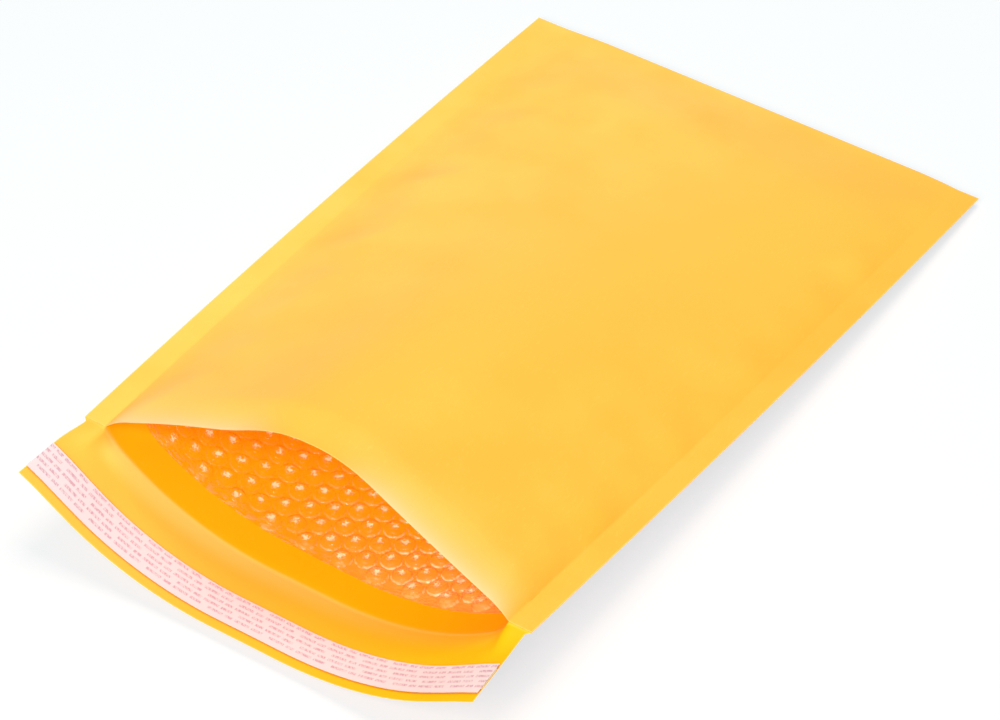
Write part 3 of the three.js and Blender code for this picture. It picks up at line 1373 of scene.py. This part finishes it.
    @staticmethod
    def _loose_edges(faces: list[Face]) -> list[tuple[int, int]]:
        """Edges that only one face has, in that face's order."""
        edges = {(a, b) for face in faces for a, b in zip(face, face[1:] + face[:1])}
        return [(a, b) for a, b in edges if (b, a) not in edges]

    def _square_off(self, flat: np.ndarray, faces: list[Face]) -> None:
        """Straighten the film's zigzag border to the seams, the mouth edge and the fold.

        Args:
            flat: The film's flat points, which are moved.
            faces: The faces of its dome side.
        """
        p = self.pocket
        start, end = p.lining_setback, p.fold_line - self.fold_gap
        near = self.end_share * self.pitch
        for k in {a for edge in self._loose_edges(faces) for a in edge}:
            u, v, _ = flat[k]
            if abs(u) > p.seam_line - self.side_share * self.step:
                flat[k, 0] = math.copysign(p.seam_line, u)
            if v < start + near:
                flat[k, 1] = start
            elif v > flat[:, 1].max() - near or v > end - near:
                flat[k, 1] = end

    def _closed(self, domes: list[Face], backs: list[list[int]], count: int) -> list[Face]:
        """Close the film with its backing web, whose points follow the others."""
        rim = [(b, a, a + count, b + count) for a, b in self._loose_edges(domes)]
        return domes + [tuple(k + count for k in reversed(border)) for border in backs] + rim

    def placed(self, flat: np.ndarray, side: Side, backing: bool) -> np.ndarray:
        """Put one wall's flat points in their place.

        Args:
            flat: Points as flat_wall gives them.
            side: Which wall.
            backing: Whether they are the backing web's.

        Returns:
            Points in the CAD frame.
        """
        p = self.pocket
        spots = np.empty((len(flat), 3))
        near = np.round(flat[:, 1] / self.SLICE) * self.SLICE
        for v in np.unique(near):
            pick = near == v
            u = flat[pick, 0]
            beside = p.seam_rise(u, float(v))
            # Most tucked in halfway up the shoulder.
            tuck = self.shoulder_tuck * 4.0 * beside * (1.0 - beside)
            depth_here = p.paper_depth(u, v) - p.paper / 2
            outer = np.maximum(depth_here - p.clearance * beside - tuck, depth_here / 2)
            film = np.minimum(self.film, outer / 2)
            room = np.maximum(outer - film - p.clearance / 2, 0.0)
            depth = outer if backing else outer - film - room * flat[pick, 2]
            if side is Side.FRONT:
                depth = depth + p.swell(u, float(v))
            spots[pick] = p.pocket_point(u, float(v), side, depth)
        return spots

    def build(self) -> bpy.types.Object:
        """Make the lining, dress it, hang it on the body and hide the CAD part it replaces.

        Returns:
            The lining.
        """
        points, radii, hems, faces = [], [], [], []
        for side in Side:
            flat, radius, wall = self.flat_wall(side)
            first = sum(len(part) for part in points)
            points += [self.placed(flat, side, False), self.placed(flat, side, True)]
            radii += [radius, np.full(len(flat), self.FLAT_RADIUS)]
            start = self.pocket.lining_setback
            hems += [1.0 - smoothstep(flat[:, 1], start, start + self.hem)] * 2
            if side is Side.FRONT:
                wall = [tuple(reversed(face)) for face in wall]
            faces += [tuple(k + first for k in face) for face in wall]
        joined = np.concatenate(points)
        used = np.zeros(len(joined), dtype=bool)
        used[np.unique(np.concatenate([np.array(face) for face in faces]))] = True
        renumbered = np.cumsum(used) - 1
        faces = [tuple(int(renumbered[k]) for k in face) for face in faces]
        numbers = {"radius": np.concatenate(radii)[used], "hem": np.concatenate(hems)[used]}
        made = add_mesh(self.name, joined[used], faces, numbers, SHARP_FILM)
        made.data.materials.append(self.finish.material())
        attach(made, BODY)
        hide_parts("bubble_liner")
        # Clear film lets the light through to the paper.
        made.visible_shadow = False
        return made


@dataclass
class Closure:
    """The adhesive stripe on the inside of the flap and the release strip that covers it."""

    pocket: Pocket
    release_finish: ReleaseFinish = field(default_factory=ReleaseFinish)
    adhesive_finish: AdhesiveFinish = field(default_factory=AdhesiveFinish)
    strip_width: float = 17.2 * MM
    strip_margin: float = 4.7 * MM
    strip_thickness: float = 0.12 * MM
    adhesive_width: float = 12.0 * MM
    adhesive_thickness: float = 0.2 * MM
    columns: int = 140
    rows: int = 16

    @property
    def strip_start(self) -> float:
        """Where the release strip starts, from the crease."""
        return self.pocket.flap - self.strip_margin - self.strip_width

    def strip(
        self, name: str, start: float, width: float, underside: float, thickness: float
    ) -> bpy.types.Object:
        """Make a strip from edge to edge of the flap.

        Args:
            name: The piece's name.
            start: Where it starts, from the crease.
            width: How wide it is.
            underside: Height of its underside above the middle of the flap's paper.
            thickness: How thick it is.

        Returns:
            The strip.
        """
        p = self.pocket
        u = np.linspace(-p.flap_half, p.flap_half, self.columns + 1)
        along = np.linspace(width, 0.0, self.rows + 1)
        lattices = [
            np.array([p.flap_point(u, start + s, underside + rise) for s in along])
            for rise in (thickness, 0.0)
        ]
        points = np.concatenate([lattice.reshape(-1, 3) for lattice in lattices])
        numbers = {
            "across": np.tile(np.tile(u, len(along)), 2),
            "along": np.tile(np.repeat(along, len(u)), 2),
        }
        faces = slab_faces(len(along), len(u))
        return add_mesh(name, points, faces, numbers, SHARP_PAPER)

    def build_adhesive(self) -> bpy.types.Object:
        """Make the adhesive, dress it, hang it on the body and hide the CAD part it replaces.

        Returns:
            The stripe.
        """
        p = self.pocket
        start = self.strip_start + (self.strip_width - self.adhesive_width) / 2
        underside = p.paper / 2 + p.clearance
        made = self.strip(
            "adhesive_stripe", start, self.adhesive_width, underside, self.adhesive_thickness
        )
        made.data.materials.append(self.adhesive_finish.material())
        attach(made, BODY)
        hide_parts("adhesive_strip")
        return made

    def build_release(self) -> bpy.types.Object:
        """Make the release strip, dress it, hang it on the body and hide the CAD part it replaces.

        Returns:
            The strip.
        """
        p = self.pocket
        underside = p.paper / 2 + 2 * p.clearance + self.adhesive_thickness
        made = self.strip(
            "release_strip", self.strip_start, self.strip_width, underside, self.strip_thickness
        )
        made.data.materials.append(self.release_finish.material())
        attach(made, BODY)
        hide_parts("release_liner")
        return made


@dataclass(frozen=True)
class SoftBox:
    """One large soft lamp, aimed at the envelope."""

    name: str
    place: Place
    size: float
    power: float


@dataclass
class Studio:
    """The white floor, the lamps and the camera."""

    floor_finish: FloorFinish = field(default_factory=FloorFinish)
    floor_half: float = 4.0
    sky: float = 0.40
    azimuth: float = math.radians(33.34)
    elevation: float = math.radians(43.59)
    distance: float = 1.794
    target: Place = (-0.0068, -0.00215, 0.000075)
    focal_pixels: float = 4051.0
    picture_width: float = 1000.0
    sensor: float = 36.0
    farthest: float = 50.0
    lamps: tuple[SoftBox, ...] = (
        SoftBox("key_lamp", (0.0, 0.22, 1.48), 0.70, 12.4),
        SoftBox("front_lamp", (0.52, -1.82, 1.60), 1.20, 55.0),
    )

    def build_floor(self) -> bpy.types.Object:
        """Lay the floor under the envelope.

        Returns:
            The floor.
        """
        corners = np.array([(-1, -1, 0), (1, -1, 0), (1, 1, 0), (-1, 1, 0)]) * self.floor_half
        made = add_mesh("studio_floor", corners, [(0, 1, 2, 3)], {}, math.pi)
        made.data.materials.append(self.floor_finish.material())
        return made

    def build_lamps(self) -> None:
        """Hang the lamps and light the sky."""
        for box in self.lamps:
            lamp = bpy.data.lights.new(box.name, "AREA")
            lamp.shape = "SQUARE"
            lamp.size = box.size
            lamp.energy = box.power
            made = bpy.data.objects.new(box.name, lamp)
            made.location = box.place
            made.rotation_euler = (-Vector(box.place)).to_track_quat("-Z", "Y").to_euler()
            bpy.context.scene.collection.objects.link(made)
        world = bpy.data.worlds.new("studio_sky")
        world.use_nodes = True
        sky = world.node_tree.nodes["Background"]
        sky.inputs["Color"].default_value = (1.0, 1.0, 1.0, 1.0)
        sky.inputs["Strength"].default_value = self.sky
        bpy.context.scene.world = world

    def build_camera(self) -> bpy.types.Object:
        """Set up the camera at the photograph's angle.

        Returns:
            The camera.
        """
        lens = bpy.data.cameras.new("camera")
        lens.sensor_fit = "HORIZONTAL"
        lens.sensor_width = self.sensor
        lens.lens = self.focal_pixels / self.picture_width * self.sensor
        lens.clip_end = self.farthest
        back = Vector(
            (
                math.sin(self.azimuth) * math.cos(self.elevation),
                -math.cos(self.azimuth) * math.cos(self.elevation),
                math.sin(self.elevation),
            )
        )
        made = bpy.data.objects.new("camera", lens)
        made.location = Vector(self.target) + back * self.distance
        made.rotation_euler = back.to_track_quat("Z", "Y").to_euler()
        bpy.context.scene.collection.objects.link(made)
        bpy.context.scene.camera = made
        return made

    def build(self) -> None:
        """Set up the whole studio."""
        self.build_camera()
        self.build_floor()
        self.build_lamps()
        bpy.context.scene.view_settings.view_transform = "Standard"


def main() -> None:
    """Build the envelope's pieces in order, and the studio round them."""
    logging.basicConfig(level=logging.INFO, format="%(message)s")
    pocket = Pocket()
    Studio().build()
    sheet = KraftSheet(pocket).build()
    lining = BubbleLining(pocket).build()
    closure = Closure(pocket)
    adhesive = closure.build_adhesive()
    release = closure.build_release()
    for piece in (sheet, lining, adhesive, release):
        LOG.info("%s: %d faces", piece.name, len(piece.data.polygons))


if __name__ == "__main__":
    main()
